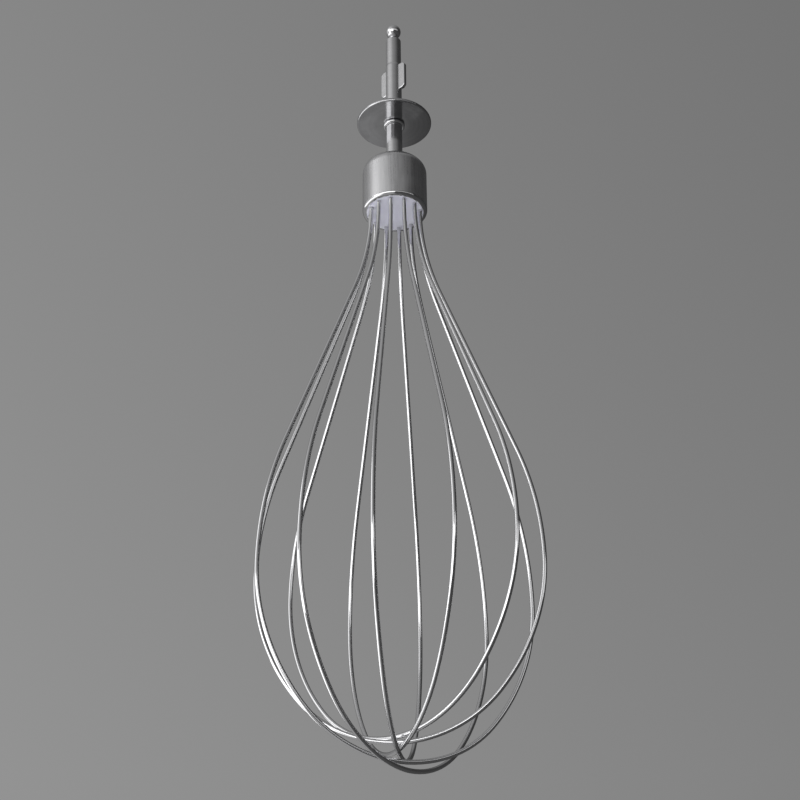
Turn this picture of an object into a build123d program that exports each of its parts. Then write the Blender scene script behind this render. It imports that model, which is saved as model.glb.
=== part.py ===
from build123d import *
from math import atan2, cos, degrees, radians, sin, sqrt
import os

# A balloon whisk attachment that plugs into a stick blender. A turned drive shaft carries a guard disc
# and a deep-drawn cap, and the cap clamps a plastic holder from which six wire loops hang as a cage.
# Sizes are in millimetres and degrees. The shaft lies on the Z axis with its ball tip upwards, and the
# origin is at the middle of the plain stretch of shank that the drive socket takes.

# Drive shaft
shank_diameter = 5.0
shaft_diameter = 5.2
plain_length = 11.1
shoulder_length = 1.6
neck_diameter = 3.1
neck_length = 0.85
ball_diameter = 5.0
taper_length = 0.8
wing_length = 10.7
wing_span = 10.2
wing_thickness = 1.2
wing_corner = 1.4
wing_edge_radius = 0.25
wing_angle = -41.0
shaft_grip = 13.0
tang_length = 8.0
tang_thickness = 3.6
end_chamfer = 0.4

# Guard disc and the split ring that it sits on
wing_to_disc = 12.6
disc_diameter = 24.2
disc_thickness = 1.2
disc_edge_radius = 0.45
ring_wire_diameter = 1.1
ring_seat_depth = 0.25
ring_opening = 50.0
ring_opening_angle = 75.0
disc_to_cap = 17.0

# Drawn cap and the holder inside it
cap_height = 19.0
cap_wall = 0.6
cap_shoulder_radius = 4.0
lip_width = 0.7
lip_bend_radius = 1.0
lip_edge_radius = 0.2
hole_wall = 0.25

# Wire cage
loop_count = 6
wire_diameter = 1.3
wire_circle_radius = 7.9
wire_grip = 10.0
cage_length = 179.7
belly_radius = 40.4
belly_height = 50.0
flare_radius = 93.0
run_length = 60.0
tuck_angle = 40.0
nest_step = 1.7
first_loop_angle = 21.0
# Place of each loop around the holder, with the outermost loop first
nest_places = (1, 0, 2, 3, 5, 4)

# Clearance between pieces that fit into each other, measured on the radius
fit_clearance = 0.05

# Radii that follow from the sizes above
shank_radius = shank_diameter / 2
shaft_radius = shaft_diameter / 2
neck_radius = neck_diameter / 2
ball_radius = ball_diameter / 2
wire_radius = wire_diameter / 2
ring_wire_radius = ring_wire_diameter / 2
ring_radius = shaft_radius - ring_seat_depth + ring_wire_radius
boss_radius = wire_circle_radius + wire_radius + fit_clearance + hole_wall
lip_radius = boss_radius + fit_clearance
cap_inner_radius = lip_radius + lip_width
cap_radius = cap_inner_radius + cap_wall
holder_radius = cap_inner_radius - fit_clearance
shoulder_inner_radius = cap_shoulder_radius - cap_wall
lip_inner_radius = lip_bend_radius - cap_wall

# Heights on the axis, from the ball tip down to the lowest wire
plain_top = plain_length / 2
neck_bottom = plain_top + shoulder_length
neck_top = neck_bottom + neck_length
ball_centre = neck_top + sqrt(ball_radius**2 - neck_radius**2)
plain_bottom = -plain_length / 2
wing_top = plain_bottom - taper_length
wing_bottom = wing_top - wing_length
disc_top = wing_bottom - wing_to_disc
disc_bottom = disc_top - disc_thickness
ring_height = disc_bottom - fit_clearance - ring_wire_radius
cap_top = disc_bottom - disc_to_cap
holder_top = cap_top - cap_wall
shaft_end = holder_top - shaft_grip
tang_top = shaft_end + tang_length
rim = cap_top - cap_height
holder_seat = rim + cap_wall
wire_top = rim + wire_grip
cage_bottom = rim - cage_length


def cylinder(radius, bottom, top):
    middle = Pos(0, 0, (bottom + top) / 2)
    return middle * Cylinder(radius, top - bottom)


def ring_body(section_radius, arc):
    # Round wire bent about the shaft, just under the disc
    section = Plane.XZ * Pos(ring_radius, ring_height) * Circle(section_radius)
    return revolve(section, Axis.Z, arc)


def drive_shaft():
    # Turned outline: ball tip, neck, cone shoulder, ground shank, taper, rod and chamfered lower end
    tip = ThreePointArc((0, ball_centre + ball_radius), (ball_radius, ball_centre), (neck_radius, neck_top))
    outline = Polyline(
        (neck_radius, neck_top),
        (neck_radius, neck_bottom),
        (shank_radius, plain_top),
        (shank_radius, plain_bottom),
        (shaft_radius, wing_top),
        (shaft_radius, shaft_end + end_chamfer),
        (shaft_radius - end_chamfer, shaft_end),
        (0, shaft_end),
        (0, ball_centre + ball_radius),
    )
    shaft = revolve(Plane.XZ * make_face(tip + outline), Axis.Z)
    shaft -= ring_body(ring_wire_radius + fit_clearance, 360)

    # Two thin wings swaged out of the rod, with rounded corners and edges
    wings = RectangleRounded(wing_span, wing_length, wing_corner)
    wings = extrude(Plane.XZ * Pos(0, (wing_top + wing_bottom) / 2) * wings, wing_thickness / 2, both=True)
    faces = wings.faces().sort_by(Axis.Y)
    wings = fillet(faces[0].edges() + faces[-1].edges(), wing_edge_radius)
    shaft += Rot(0, 0, wing_angle) * wings

    # Two flats on the lower end key the shaft to the holder
    tang_side = Box(shaft_diameter, shaft_radius, tang_length, align=(Align.CENTER, Align.MIN, Align.MIN))
    tang_side = Pos(0, tang_thickness / 2, shaft_end) * tang_side
    return shaft - tang_side - mirror(tang_side, Plane.XZ)


def guard_disc():
    # Stamped plate with rounded edges, pressed onto the rod
    plate = cylinder(disc_diameter / 2, disc_bottom, disc_top)
    plate = fillet(plate.edges(), disc_edge_radius)
    return plate - cylinder(shaft_radius + fit_clearance, disc_bottom, disc_top)


def retaining_ring():
    # Split ring of round wire, snapped into the groove under the disc
    return Rot(0, 0, ring_opening_angle + ring_opening / 2) * ring_body(ring_wire_radius, 360 - ring_opening)


def ferrule_cap():
    # Drawn cup with a domed shoulder, pierced for the shaft and rolled inwards at the rim
    cup = cylinder(cap_radius, rim, cap_top)
    cup = fillet(cup.edges().sort_by(Axis.Z)[-1], cap_shoulder_radius)
    cup = fillet(cup.edges().sort_by(Axis.Z)[0], lip_bend_radius)
    hollow = cylinder(cap_inner_radius, holder_seat, holder_top)
    hollow = fillet(hollow.edges().sort_by(Axis.Z)[-1], shoulder_inner_radius)
    hollow = fillet(hollow.edges().sort_by(Axis.Z)[0], lip_inner_radius)
    cup = cup - hollow - cylinder(shaft_radius + fit_clearance, holder_seat, cap_top)
    cup -= cylinder(lip_radius, rim, holder_seat)
    lip_edge = cup.edges().filter_by(GeomType.CIRCLE).sort_by(Axis.Z)[:2].sort_by(SortBy.RADIUS)[0]
    return fillet(lip_edge, lip_edge_radius)


def wire_holder():
    # Moulded plug that fills the cap, stepped at the bottom so that the rolled lip carries it
    plug = cylinder(holder_radius, holder_seat, holder_top)
    plug = fillet(plug.edges().sort_by(Axis.Z)[-1], shoulder_inner_radius)
    plug = fillet(plug.edges().sort_by(Axis.Z)[0], lip_inner_radius)
    plug += cylinder(boss_radius, rim, holder_seat)

    # Keyed socket for the shaft: a round bore above, a flat-sided slot below
    plug -= cylinder(shaft_radius + fit_clearance, tang_top, holder_top)
    slot = cylinder(shaft_radius + fit_clearance, shaft_end, tang_top)
    slot_width = tang_thickness + 2 * fit_clearance
    slot &= Pos(0, 0, shaft_end) * Box(
        2 * shaft_diameter, slot_width, tang_length, align=(Align.CENTER, Align.CENTER, Align.MIN)
    )
    plug -= slot

    # One blind hole for each end of each loop
    hole = cylinder(wire_radius + fit_clearance, rim, wire_top)
    for place in PolarLocations(wire_circle_radius, 2 * loop_count, first_loop_angle):
        plug -= place * hole
    return plug


def loop_path(rank):
    # Path in its own plane: x runs outwards from the axis and y runs upwards. A straight grip in the
    # holder, a flare, a straight run and the belly lead to the tuck under the cage, and the far side
    # mirrors them. Each later loop nests one step above the one before.
    lowest = cage_bottom + wire_radius + nest_step * rank
    belly = lowest + belly_height
    out = belly_radius - wire_circle_radius
    down = rim - belly
    turn_radii = (down**2 + out**2 - run_length**2) / (2 * out)
    belly_arc = turn_radii - flare_radius
    flare_angle = degrees(atan2(turn_radii, run_length) + atan2(out - turn_radii, down))

    # Two arcs close the cage below the belly: a slack one at the side and a tight one underneath
    sine = sin(radians(tuck_angle))
    cosine = cos(radians(tuck_angle))
    shared = sine + cosine - 1
    side_arc = (belly_height * cosine - belly_radius * (1 - sine)) / shared
    base_arc = (belly_radius * sine - belly_height * (1 - cosine)) / shared

    path = Curve() + Line((wire_circle_radius, wire_top), (wire_circle_radius, rim))
    steps = (
        (flare_radius, flare_angle),
        (None, run_length),
        (belly_arc, -flare_angle),
        (side_arc, -tuck_angle),
        (base_arc, 2 * tuck_angle - 180),
        (side_arc, -tuck_angle),
        (belly_arc, -flare_angle),
        (None, run_length),
        (flare_radius, flare_angle),
        (None, wire_grip),
    )
    last = path.edges()[0]
    for radius, size in steps:
        if radius is None:
            last = Line(last @ 1, last @ 1 + (last % 1) * size)
        else:
            last = JernArc(last @ 1, last % 1, radius, size)
        path += last
    return path


def wire_loop(rank):
    path = loop_path(rank)
    start = (wire_circle_radius, wire_top)
    section = Plane(origin=start, z_dir=(0, -1, 0)) * Circle(wire_radius)
    wire = sweep(section, path=path)
    angle = first_loop_angle + nest_places[rank] * 180 / loop_count
    return Rot(0, 0, angle) * Rot(90, 0, 0) * wire


pieces = {
    "drive_shaft": drive_shaft(),
    "guard_disc": guard_disc(),
    "retaining_ring": retaining_ring(),
    "ferrule_cap": ferrule_cap(),
    "wire_holder": wire_holder(),
}
for rank in range(loop_count):
    pieces[f"wire_loop_{rank + 1}"] = wire_loop(rank)

os.makedirs("parts", exist_ok=True)
for name, piece in pieces.items():
    export_step(piece, f"parts/{name}.step")
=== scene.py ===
import math

import bpy
from mathutils import Matrix, Vector


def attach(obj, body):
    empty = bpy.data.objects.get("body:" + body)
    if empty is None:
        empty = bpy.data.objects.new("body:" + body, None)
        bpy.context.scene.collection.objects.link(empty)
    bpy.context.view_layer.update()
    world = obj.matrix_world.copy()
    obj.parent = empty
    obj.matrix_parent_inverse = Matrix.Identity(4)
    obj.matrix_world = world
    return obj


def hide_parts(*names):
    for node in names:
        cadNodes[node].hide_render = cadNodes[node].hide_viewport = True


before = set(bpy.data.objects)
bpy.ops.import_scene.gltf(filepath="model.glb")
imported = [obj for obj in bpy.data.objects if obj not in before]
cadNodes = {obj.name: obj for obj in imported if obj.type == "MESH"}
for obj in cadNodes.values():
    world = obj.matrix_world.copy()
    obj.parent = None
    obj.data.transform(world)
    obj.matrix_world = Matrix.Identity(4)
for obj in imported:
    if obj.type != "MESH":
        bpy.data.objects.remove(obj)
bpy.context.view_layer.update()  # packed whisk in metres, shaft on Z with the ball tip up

scene = bpy.context.scene
scene.view_settings.view_transform = "Standard"
mm = 0.001
perMm = 1 / mm  # turns a coordinate in metres into millimetres
whole = (0.0, 1.0)
upward = Vector((0.0, 0.0, 1.0))
print("frame loaded,", len(cadNodes), "nodes")


# Camera: low in front of the cage, looking up at the guard disc
viewer = {
    "place": (0.0, -405.2 * mm, -377.4 * mm),
    "lookUp": 30.85,
    "roll": -0.525,
    "lens": 72.46,
    "sensor": 36.0,
    "shiftX": 0.0042,
    "near": 10.0 * mm,
    "far": 60.0,
}


def addViewer(spec):
    data = bpy.data.cameras.new("viewer")
    data.sensor_width = spec["sensor"]
    data.lens = spec["lens"]
    data.shift_x = spec["shiftX"]
    data.clip_start = spec["near"]
    data.clip_end = spec["far"]
    viewerObject = bpy.data.objects.new("viewer", data)
    scene.collection.objects.link(viewerObject)
    tilt = Matrix.Rotation(math.radians(90 + spec["lookUp"]), 4, "X")
    roll = Matrix.Rotation(math.radians(spec["roll"]), 4, "Z")
    viewerObject.matrix_world = Matrix.Translation(spec["place"]) @ tilt @ roll
    scene.camera = viewerObject


addViewer(viewer)
print("camera set")


# Node helpers
def feed(tree, value, socket):  # another node's output is linked, a plain value is set
    if isinstance(value, bpy.types.NodeSocket):
        tree.links.new(value, socket)
    else:
        socket.default_value = value


def mathNode(tree, operation, first, second, clamp=False):
    node = tree.nodes.new("ShaderNodeMath")
    node.operation = operation
    node.use_clamp = clamp
    feed(tree, first, node.inputs[0])
    feed(tree, second, node.inputs[1])
    return node.outputs[0]


def vectorNode(tree, operation, first, second=None):
    node = tree.nodes.new("ShaderNodeVectorMath")
    node.operation = operation
    feed(tree, first, node.inputs[0])
    if second is not None:
        feed(tree, second, node.inputs[1])
    return node.outputs["Value" if operation in ("LENGTH", "DOT_PRODUCT") else "Vector"]


def stretchNode(tree, vector, scale):
    return vectorNode(tree, "MULTIPLY", vector, scale)


def splitNode(tree, vector):
    node = tree.nodes.new("ShaderNodeSeparateXYZ")
    tree.links.new(vector, node.inputs[0])
    return node.outputs


def rangeNode(tree, value, fromRange, toRange, smooth=False):
    node = tree.nodes.new("ShaderNodeMapRange")
    node.interpolation_type = "SMOOTHSTEP" if smooth else "LINEAR"
    tree.links.new(value, node.inputs["Value"])
    for label, number in zip(("From Min", "From Max", "To Min", "To Max"), (*fromRange, *toRange)):
        node.inputs[label].default_value = number
    return node.outputs["Result"]


def noiseNode(tree, vector, scale, detail, roughness):
    node = tree.nodes.new("ShaderNodeTexNoise")
    tree.links.new(vector, node.inputs["Vector"])
    feed(tree, scale, node.inputs["Scale"])
    node.inputs["Detail"].default_value = detail
    node.inputs["Roughness"].default_value = roughness
    return node.outputs["Fac"]


def mixNode(tree, factor, off, on):
    node = tree.nodes.new("ShaderNodeMix")
    node.data_type = "FLOAT"
    tree.links.new(factor, node.inputs["Factor"])
    feed(tree, off, node.inputs["A"])
    feed(tree, on, node.inputs["B"])
    return node.outputs["Result"]


def tintNode(tree, factor, dark, light):
    node = tree.nodes.new("ShaderNodeMix")
    node.data_type = "RGBA"
    tree.links.new(factor, node.inputs["Factor"])
    node.inputs["A"].default_value = (*dark, 1.0)
    node.inputs["B"].default_value = (*light, 1.0)
    return node.outputs["Result"]


def bumpNode(tree, shader, relief, strength, depth):
    node = tree.nodes.new("ShaderNodeBump")
    node.inputs["Strength"].default_value = strength
    node.inputs["Distance"].default_value = depth
    tree.links.new(relief, node.inputs["Height"])
    tree.links.new(node.outputs["Normal"], shader.inputs["Normal"])


def newGroup(name, sizes, masks):  # a coordinate and some sizes go in, masks come out
    group = bpy.data.node_groups.new(name, "ShaderNodeTree")
    group.interface.new_socket(name="Coordinate", in_out="INPUT", socket_type="NodeSocketVector")
    for label in sizes:
        group.interface.new_socket(name=label, in_out="INPUT", socket_type="NodeSocketFloat")
    for label in masks:
        group.interface.new_socket(name=label, in_out="OUTPUT", socket_type="NodeSocketFloat")
    entry = group.nodes.new("NodeGroupInput")
    leave = group.nodes.new("NodeGroupOutput")
    return group, entry.outputs, leave.inputs


def placeGroup(tree, group, values):
    node = tree.nodes.new("ShaderNodeGroup")
    node.node_tree = group
    for label, value in values.items():
        feed(tree, value, node.inputs[label])
    return node.outputs


def startMaterial(name):
    material = bpy.data.materials.new(name)
    material.use_nodes = True
    tree = material.node_tree
    shader = tree.nodes["Principled BSDF"]
    coordinates = tree.nodes.new("ShaderNodeTexCoord").outputs["Object"]
    return material, tree, shader, coordinates


# Tool lines: noise that the caller's coordinate squeezes across the lines and stretches along them.
# A grain is a noise's detail and roughness
lineNoise = {
    "fineGrain": (3.0, 0.65), "fineRange": (0.3, 0.7),
    "broadGrain": (2.0, 0.5), "broadRange": (0.32, 0.68),
}


def makeToolLines(spec):
    group, given, result = newGroup("toolLines", ("Fine", "Broad"), ("Lines", "Bands"))
    fine = noiseNode(group, given["Coordinate"], given["Fine"], *spec["fineGrain"])
    broad = noiseNode(group, given["Coordinate"], given["Broad"], *spec["broadGrain"])
    lines = rangeNode(group, fine, spec["fineRange"], whole)
    bands = rangeNode(group, broad, spec["broadRange"], whole, smooth=True)
    group.links.new(lines, result["Lines"])
    group.links.new(bands, result["Bands"])
    return group


# Use marks: soft finger smudges, and a few hair scratches in two directions
markNoise = {
    "smudgeGrain": (3.0, 0.55), "smudgeRange": (0.45, 0.72),
    "scratchGrain": (1.0, 0.4), "scratchRange": (0.70, 0.78),
    "scratchSqueezes": ((1.0, 0.06, 0.3), (0.08, 1.0, 0.35)),
}


def makeUseMarks(spec):
    group, given, result = newGroup("useMarks", ("Smudge Size", "Scratch Size"), ("Smudge", "Scratch"))
    blot = noiseNode(group, given["Coordinate"], given["Smudge Size"], *spec["smudgeGrain"])
    smudge = rangeNode(group, blot, spec["smudgeRange"], whole, smooth=True)
    hairs = []
    for squeeze in spec["scratchSqueezes"]:
        stretched = stretchNode(group, given["Coordinate"], squeeze)
        hair = noiseNode(group, stretched, given["Scratch Size"], *spec["scratchGrain"])
        hairs.append(rangeNode(group, hair, spec["scratchRange"], whole))
    scratch = mathNode(group, "MAXIMUM", *hairs)
    group.links.new(smudge, result["Smudge"])
    group.links.new(scratch, result["Scratch"])
    return group


toolLines = makeToolLines(lineNoise)
useMarks = makeUseMarks(markNoise)


# One recipe for the steels: tool lines on a coordinate of their own, smudges and scratches on top
def makeSteel(spec, lineCoordinate):
    material, tree, shader, coordinates = startMaterial(spec["name"])
    lines = placeGroup(tree, toolLines, {
        "Coordinate": lineCoordinate(tree, coordinates),
        "Fine": spec["fine"], "Broad": spec["broad"],
    })
    marks = placeGroup(tree, useMarks, {
        "Coordinate": coordinates,
        "Smudge Size": spec["smudgeSize"], "Scratch Size": spec["scratchSize"],
    })
    streaks = mathNode(tree, "ADD", lines["Lines"], lines["Bands"])
    streaks = mathNode(tree, "MULTIPLY", streaks, 0.5)  # the mean of both
    colour = tintNode(tree, streaks, spec["dark"], spec["light"])
    rough = rangeNode(tree, lines["Lines"], whole, (spec["smooth"], spec["rough"]))
    smudged = mathNode(tree, "MULTIPLY", marks["Smudge"], spec["smudge"])
    rough = mathNode(tree, "ADD", rough, smudged, clamp=True)
    if "brightBelow" in spec:
        height = splitNode(tree, coordinates)["Z"]
        fade = (spec["brightBelow"], spec["brightBelow"] + spec["brightFade"])
        bright = rangeNode(tree, height, fade, (1.0, 0.0))
        rough = mixNode(tree, bright, rough, spec["brightRough"])
    relief = mathNode(tree, "SUBTRACT", lines["Lines"], marks["Scratch"])
    shader.inputs["Metallic"].default_value = 1.0
    tree.links.new(colour, shader.inputs["Base Color"])
    tree.links.new(rough, shader.inputs["Roughness"])
    bumpNode(tree, shader, relief, spec["lineBump"], spec["lineDepth"])
    return material


# How close the drawing lines lie round the cap, and how fast they change up the cap and along a wire
drawing = {
    "roundCap": 10.0,
    "upCap": 40.0,
    "alongWire": 12.0,
    "wireMark": "drawnAt",  # each loop's own attribute
}


def heightCoordinate(tree, coordinates):  # turning lines round the shaft: only the height counts
    return stretchNode(tree, coordinates, (0.0, 0.0, perMm))


def radiusCoordinate(tree, coordinates):  # polishing rings on the disc: only the radius counts
    flat = stretchNode(tree, coordinates, (perMm, perMm, 0.0))
    combine = tree.nodes.new("ShaderNodeCombineXYZ")
    tree.links.new(vectorNode(tree, "LENGTH", flat), combine.inputs["X"])
    return combine.outputs["Vector"]


def roundCoordinate(tree, coordinates):  # drawing lines up the cap: the way round it, hardly the height
    flat = stretchNode(tree, coordinates, (1.0, 1.0, 0.0))
    unit = vectorNode(tree, "NORMALIZE", flat)
    around = stretchNode(tree, unit, (drawing["roundCap"], drawing["roundCap"], 0.0))
    up = stretchNode(tree, coordinates, (0.0, 0.0, drawing["upCap"]))
    return vectorNode(tree, "ADD", around, up)


def wireCoordinate(tree, coordinates):  # drawing lines along the wire, whatever way it bends
    node = tree.nodes.new("ShaderNodeAttribute")
    node.attribute_name = drawing["wireMark"]
    return stretchNode(tree, node.outputs["Vector"], (1.0, 1.0, drawing["alongWire"]))


turnedSteel = {
    "name": "turnedSteel",
    "dark": (0.59, 0.59, 0.60), "light": (0.65, 0.65, 0.66),
    "smooth": 0.12, "rough": 0.19, "fine": 2.5, "broad": 0.4,
    "smudge": 0.05, "smudgeSize": 150.0, "scratchSize": 900.0,
    "lineBump": 0.03, "lineDepth": 0.02 * mm,
}
# The plate's colour, darker than the other steels, is painted shade for the disc's dark underside
polishedPlate = {
    "name": "polishedPlate",
    "dark": (0.42, 0.42, 0.43), "light": (0.50, 0.50, 0.51),
    "smooth": 0.08, "rough": 0.14, "fine": 3.0, "broad": 0.4,
    "smudge": 0.1, "smudgeSize": 110.0, "scratchSize": 700.0,
    "lineBump": 0.05, "lineDepth": 0.02 * mm,
}
drawnCap = {
    "name": "drawnCap",
    "dark": (0.53, 0.53, 0.54), "light": (0.64, 0.64, 0.65),
    "smooth": 0.24, "rough": 0.34, "fine": 2.2, "broad": 0.45,
    "smudge": 0.05, "smudgeSize": 140.0, "scratchSize": 900.0,
    "lineBump": 0.12, "lineDepth": 0.02 * mm,
    "brightBelow": -65.9 * mm, "brightFade": 0.4 * mm, "brightRough": 0.06,  # the rolled lip
}
drawnWire = {
    "name": "drawnWire",
    "dark": (0.62, 0.62, 0.63), "light": (0.70, 0.70, 0.71),
    "smooth": 0.06, "rough": 0.12, "fine": 3.0, "broad": 0.8,
    "smudge": 0.05, "smudgeSize": 90.0, "scratchSize": 800.0,
    "lineBump": 0.04, "lineDepth": 0.02 * mm,
}
shaftSteel = makeSteel(turnedSteel, heightCoordinate)
discSteel = makeSteel(polishedPlate, radiusCoordinate)
capSteel = makeSteel(drawnCap, roundCoordinate)
wireSteel = makeSteel(drawnWire, wireCoordinate)


# Plug: fine moulding grain on cloudy nylon that lets a little light in
plugPlastic = {
    "name": "lilacNylon",
    "dark": (0.74, 0.74, 0.86), "light": (0.82, 0.82, 0.94),
    "cloudSize": 160.0, "cloudGrain": (3.0, 0.5),
    "grainSize": 1500.0, "grainGrain": (3.0, 0.6), "grainRange": (0.3, 0.7),
    "smooth": 0.38, "rough": 0.52, "grainBump": 0.2, "grainDepth": 0.03 * mm,
    "letIn": 0.25, "letInRadius": (1.2, 1.1, 1.4), "letInDepth": 0.8 * mm, "ior": 1.5,
}


def makePlastic(spec):
    material, tree, shader, coordinates = startMaterial(spec["name"])
    grain = noiseNode(tree, coordinates, spec["grainSize"], *spec["grainGrain"])
    cloud = noiseNode(tree, coordinates, spec["cloudSize"], *spec["cloudGrain"])
    colour = tintNode(tree, cloud, spec["dark"], spec["light"])
    rough = rangeNode(tree, grain, spec["grainRange"], (spec["smooth"], spec["rough"]))
    tree.links.new(colour, shader.inputs["Base Color"])
    tree.links.new(rough, shader.inputs["Roughness"])
    shader.inputs["Subsurface Weight"].default_value = spec["letIn"]
    shader.inputs["Subsurface Radius"].default_value = spec["letInRadius"]
    shader.inputs["Subsurface Scale"].default_value = spec["letInDepth"]
    shader.inputs["IOR"].default_value = spec["ior"]
    bumpNode(tree, shader, grain, spec["grainBump"], spec["grainDepth"])
    return material


plugNylon = makePlastic(plugPlastic)


def dress(nodeName, material):
    for slot in cadNodes[nodeName].material_slots:
        slot.material = material


dress("drive_shaft", shaftSteel)
dress("guard_disc", discSteel)
dress("retaining_ring", shaftSteel)
dress("ferrule_cap", capSteel)
dress("wire_holder", plugNylon)
print("materials on the shaft, disc, ring, cap and plug")


# Wire loops, bent from a round section by extruding the straights and spinning the bends
cage = {
    "loopCount": 6,
    "wireRadius": 0.65 * mm,
    "sides": 20,
    "circleRadius": 7.9 * mm,
    "grip": 10.0 * mm,
    "rim": -66.85 * mm,
    "length": 179.7 * mm,
    "bellyRadius": 40.4 * mm,
    "bellyHeight": 50.0 * mm,
    "flareRadius": 93.0 * mm,
    "run": 60.0 * mm,
    "tuck": 40.0,
    "nestStep": 1.7 * mm,
    "firstAngle": 21.0,
    "places": (1, 0, 2, 3, 5, 4),  # round the plug, the outermost loop first
    "bendStep": 2.0 * mm,
    "fewestSteps": 6,
    "mergeWithin": 0.01 * mm,
    "smoothUnder": 50.0,
}


def inPlane(outward, angle):  # a direction in a loop's plane, 0 degrees outwards and 90 up
    turn = math.radians(angle)
    return outward * math.cos(turn) + upward * math.sin(turn)


def loopSteps(spec, rank):
    # Straights as lengths, bends as a radius and a turn in degrees, from one end of the wire to the other
    lowest = spec["rim"] - spec["length"] + spec["wireRadius"] + spec["nestStep"] * rank
    out = spec["bellyRadius"] - spec["circleRadius"]
    down = spec["rim"] - lowest - spec["bellyHeight"]
    radii = (down ** 2 + out ** 2 - spec["run"] ** 2) / (2 * out)  # of the flare and the belly together
    flare = math.degrees(math.atan2(radii, spec["run"]) + math.atan2(out - radii, down))
    sine = math.sin(math.radians(spec["tuck"]))
    cosine = math.cos(math.radians(spec["tuck"]))
    shared = sine + cosine - 1
    sideArc = (spec["bellyHeight"] * cosine - spec["bellyRadius"] * (1 - sine)) / shared
    baseArc = (spec["bellyRadius"] * sine - spec["bellyHeight"] * (1 - cosine)) / shared
    leg = [
        ("straight", spec["grip"], 0.0),
        ("bend", spec["flareRadius"], flare),
        ("straight", spec["run"], 0.0),
        ("bend", radii - spec["flareRadius"], -flare),
        ("bend", sideArc, -spec["tuck"]),
    ]
    base = [("bend", baseArc, 2 * spec["tuck"] - 180)]
    return leg + base + leg[::-1]


def bendLoop(spec, rank):
    angle = math.radians(spec["firstAngle"] + spec["places"][rank] * 180 / spec["loopCount"])
    outward = Vector((math.cos(angle), math.sin(angle), 0.0))
    across = upward.cross(outward)
    start = outward * spec["circleRadius"] + upward * (spec["rim"] + spec["grip"])
    rings = [(start, -90.0, 0.0)]  # each section's centre, heading in the plane and distance along the wire

    bpy.ops.object.select_all(action="DESELECT")
    bpy.ops.mesh.primitive_circle_add(
        vertices=spec["sides"], radius=spec["wireRadius"], fill_type="NGON", location=start
    )
    loop = bpy.context.object
    loop.name = f"wireLoop{rank + 1}"
    bpy.ops.object.transform_apply(location=True, rotation=True, scale=True)
    bpy.ops.object.mode_set(mode="EDIT")
    bpy.ops.mesh.select_mode(type="FACE")
    bpy.ops.mesh.select_all(action="SELECT")

    for kind, size, turn in loopSteps(spec, rank):
        point, heading, travelled = rings[-1]
        if kind == "straight":
            move = inPlane(outward, heading) * size
            bpy.ops.mesh.extrude_region_move(TRANSFORM_OT_translate={"value": move})
            rings.append((point + move, heading, travelled + size))
            continue
        side = 90 if turn > 0 else -90  # the bend's centre lies left or right of the wire
        centre = point + inPlane(outward, heading + side) * size
        arc = size * math.radians(abs(turn))
        steps = max(spec["fewestSteps"], round(arc / spec["bendStep"]))
        bpy.ops.mesh.spin(
            steps=steps, angle=math.radians(turn), center=centre, axis=across, use_auto_merge=False
        )
        for step in range(1, steps + 1):
            share = step / steps
            partHeading = heading + turn * share
            partPoint = centre - inPlane(outward, partHeading + side) * size
            rings.append((partPoint, partHeading, travelled + arc * share))

    bpy.ops.mesh.select_all(action="SELECT")
    bpy.ops.mesh.remove_doubles(threshold=spec["mergeWithin"])
    bpy.ops.mesh.normals_make_consistent(inside=False)
    bpy.ops.object.mode_set(mode="OBJECT")
    bpy.ops.object.shade_smooth_by_angle(angle=math.radians(spec["smoothUnder"]))
    return loop, rings, outward


def markAlongWire(loop, rings, outward, spec):
    # Cosine and sine round the wire and the distance along it in metres, for the drawing lines
    across = upward.cross(outward)
    marks = loop.data.attributes.new(drawing["wireMark"], "FLOAT_VECTOR", "POINT")
    for vertex, mark in zip(loop.data.vertices, marks.data):
        centre, heading, travelled = min(rings, key=lambda ring: (ring[0] - vertex.co).length_squared)
        arm = (vertex.co - centre) / spec["wireRadius"]
        mark.vector = (arm.dot(across), arm.dot(inPlane(outward, heading + 90)), travelled)


for rank in range(cage["loopCount"]):
    loop, rings, outward = bendLoop(cage, rank)
    markAlongWire(loop, rings, outward, cage)
    loop.data.materials.append(wireSteel)
    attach(loop, "root")
    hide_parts(f"wire_loop_{rank + 1}")
    print("wire loop", rank + 1, "bent,", len(loop.data.polygons), "faces")


# Studio: a plain grey backdrop for the camera, and walls that are bright on its left for the metal.
# A reach is the stretch of direction over which a change takes place
studio = {
    "backdrop": 0.233,
    "sideFall": 0.042, "sideReach": (-0.3, 0.3),  # the backdrop is brighter on the left
    "topFall": 0.025, "topReach": (0.3, 0.7),  # and darker at the top
    "fallReach": (0.02, 0.26),  # both fade out down to the horizon
    "brightSide": (-0.883, -0.469, 0.0),
    "darkWall": 0.05, "lightWall": 0.38, "wallReach": (-0.5, 0.6),
    "glow": 0.38, "glowReach": (0.45, 0.85),
    "ceiling": 0.12, "ceilingReach": (0.72, 0.95),
    "ambient": 0.42,
}
floorPaint = {
    "name": "floorPaint",
    "height": -0.85, "size": 80.0,
    "grey": 0.48, "spread": 0.03, "mottleSize": 3.0, "mottleGrain": (4.0, 0.5),
    "rough": 0.9, "specular": 0.1,
    "even": 0.75,  # how far it takes the backdrop's grey where it is seen
    # Painted reflection: in the metal the floor glows bright on its left half and nearly black on its right
    # half, which darkens the right of the disc's underside
    "paintedReflectionLeft": 0.41, "paintedReflectionRight": 0.02, "paintedReflectionReach": (-0.01, 0.01),  # its grey in the metal
}


def seenNode(tree, path):
    return mathNode(tree, "MAXIMUM", path["Is Camera Ray"], path["Is Transmission Ray"])


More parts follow.
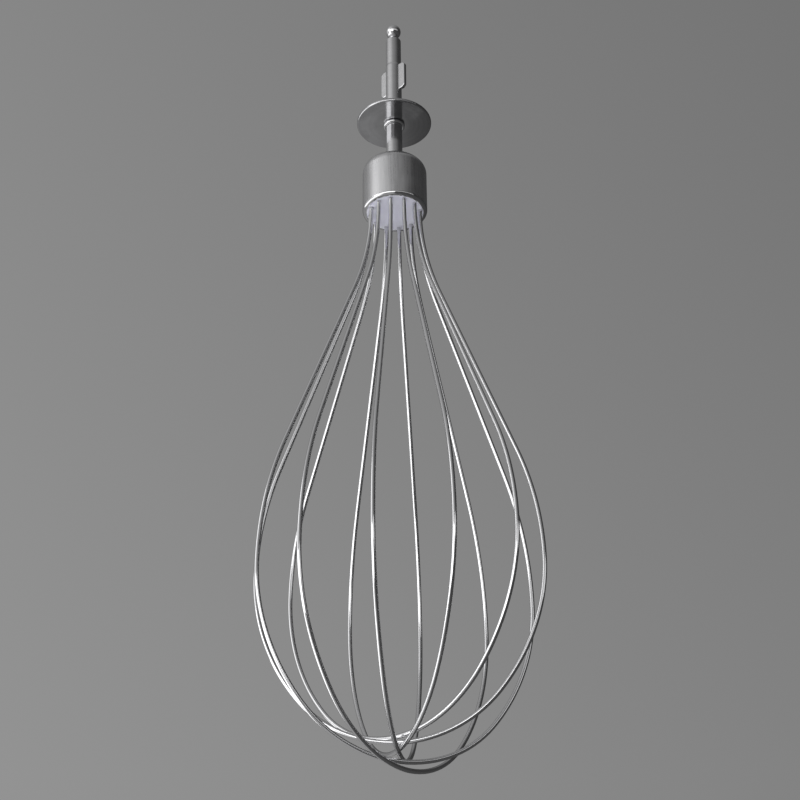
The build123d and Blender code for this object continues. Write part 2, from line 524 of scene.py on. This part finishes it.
def makeWorld(spec):
    world = bpy.data.worlds.new("studio")
    scene.world = world
    world.use_nodes = True
    tree = world.node_tree
    direction = tree.nodes.new("ShaderNodeTexCoord").outputs["Generated"]
    path = tree.nodes.new("ShaderNodeLightPath").outputs
    parts = splitNode(tree, direction)

    sideFall = rangeNode(tree, parts["X"], spec["sideReach"], (spec["sideFall"], -spec["sideFall"]))
    topFall = rangeNode(tree, parts["Z"], spec["topReach"], (spec["topFall"], -spec["topFall"]))
    fade = rangeNode(tree, parts["Z"], spec["fallReach"], whole, smooth=True)
    slope = mathNode(tree, "MULTIPLY", mathNode(tree, "ADD", sideFall, topFall), fade)
    plain = mathNode(tree, "ADD", slope, spec["backdrop"])

    towards = vectorNode(tree, "DOT_PRODUCT", direction, spec["brightSide"])
    walls = rangeNode(tree, towards, spec["wallReach"], (spec["darkWall"], spec["lightWall"]))
    glow = rangeNode(tree, towards, spec["glowReach"], (0.0, spec["glow"]), smooth=True)
    ceiling = rangeNode(tree, parts["Z"], spec["ceilingReach"], (0.0, spec["ceiling"]), smooth=True)
    mirrored = mathNode(tree, "ADD", mathNode(tree, "ADD", walls, glow), ceiling)

    level = mixNode(tree, path["Is Glossy Ray"], spec["ambient"], mirrored)
    level = mixNode(tree, seenNode(tree, path), level, plain)
    tree.links.new(level, tree.nodes["Background"].inputs["Color"])


def makeFloor(spec, backdrop):
    bpy.ops.object.select_all(action="DESELECT")
    bpy.ops.mesh.primitive_plane_add(size=spec["size"], location=(0, 0, spec["height"]))
    floor = bpy.context.object
    floor.name = "studioFloor"
    material, tree, shader, coordinates = startMaterial(spec["name"])
    mottle = noiseNode(tree, coordinates, spec["mottleSize"], *spec["mottleGrain"])
    dark = (spec["grey"] * (1 - spec["spread"]),) * 3
    light = (spec["grey"] * (1 + spec["spread"]),) * 3
    tree.links.new(tintNode(tree, mottle, dark, light), shader.inputs["Base Color"])
    shader.inputs["Roughness"].default_value = spec["rough"]
    shader.inputs["Specular IOR Level"].default_value = spec["specular"]
    path = tree.nodes.new("ShaderNodeLightPath").outputs
    seen = mathNode(tree, "MAXIMUM", seenNode(tree, path), path["Is Glossy Ray"])
    # Painted reflection for glossy rays only: a bright left half and a dark right half, split at X = 0
    paintedReflectionGreys = (spec["paintedReflectionLeft"], spec["paintedReflectionRight"])
    mirrored = rangeNode(tree, splitNode(tree, coordinates)["X"], spec["paintedReflectionReach"], paintedReflectionGreys, smooth=True)
    even = tree.nodes.new("ShaderNodeEmission")
    tree.links.new(mixNode(tree, path["Is Glossy Ray"], backdrop, mirrored), even.inputs["Color"])
    blend = tree.nodes.new("ShaderNodeMixShader")
    tree.links.new(mathNode(tree, "MULTIPLY", seen, spec["even"]), blend.inputs["Fac"])
    tree.links.new(shader.outputs["BSDF"], blend.inputs[1])
    tree.links.new(even.outputs["Emission"], blend.inputs[2])
    tree.links.new(blend.outputs["Shader"], tree.nodes["Material Output"].inputs["Surface"])
    floor.data.materials.append(material)


# Each lamp is given by its direction and distance from the cap and by its width and height in degrees.
# The cards lie low: the left one shows in the rolled lip and under the disc, the other only fills the plug
lamps = {
    "frontWindow": {
        "azimuth": -34.0, "elevation": 1.0, "distance": 1.6,
        "wide": 72.0, "tall": 30.0, "level": 2.0, "inMetal": True,
    },
    "rightStrip": {
        "azimuth": 32.0, "elevation": 14.0, "distance": 1.5,
        "wide": 60.0, "tall": 12.0, "level": 0.7, "inMetal": True,
    },
    "leftWindow": {
        "azimuth": -70.0, "elevation": 25.0, "distance": 1.4,
        "wide": 22.0, "tall": 24.0, "level": 1.05, "inMetal": True,
    },
    "leftCard": {
        "azimuth": -88.0, "elevation": -30.0, "distance": 0.8,
        "wide": 70.0, "tall": 40.0, "level": 1.6, "inMetal": True,
    },
    "lowCard": {
        "azimuth": -5.0, "elevation": -35.0, "distance": 0.95,
        "wide": 44.0, "tall": 32.0, "level": 2.2, "inMetal": False,
    },
}
lampTarget = Vector((0.0, 0.0, -60.0 * mm))


def addLamp(name, spec):
    azimuth = math.radians(spec["azimuth"])
    elevation = math.radians(spec["elevation"])
    sideways = math.cos(elevation)
    away = Vector((sideways * math.sin(azimuth), -sideways * math.cos(azimuth), math.sin(elevation)))
    bpy.ops.object.light_add(type="AREA", location=lampTarget + away * spec["distance"])
    lamp = bpy.context.object
    lamp.name = name
    lamp.data.shape = "RECTANGLE"
    lamp.data.size = 2 * spec["distance"] * math.tan(math.radians(spec["wide"] / 2))
    lamp.data.size_y = 2 * spec["distance"] * math.tan(math.radians(spec["tall"] / 2))
    lamp.data.energy = spec["level"] * math.pi * lamp.data.size * lamp.data.size_y
    lamp.rotation_euler = (-away).to_track_quat("-Z", "Y").to_euler()
    lamp.visible_camera = False
    lamp.visible_glossy = spec["inMetal"]


makeWorld(studio)
makeFloor(floorPaint, studio["backdrop"])
for lampName, lampSpec in lamps.items():
    addLamp(lampName, lampSpec)
print("studio lit")
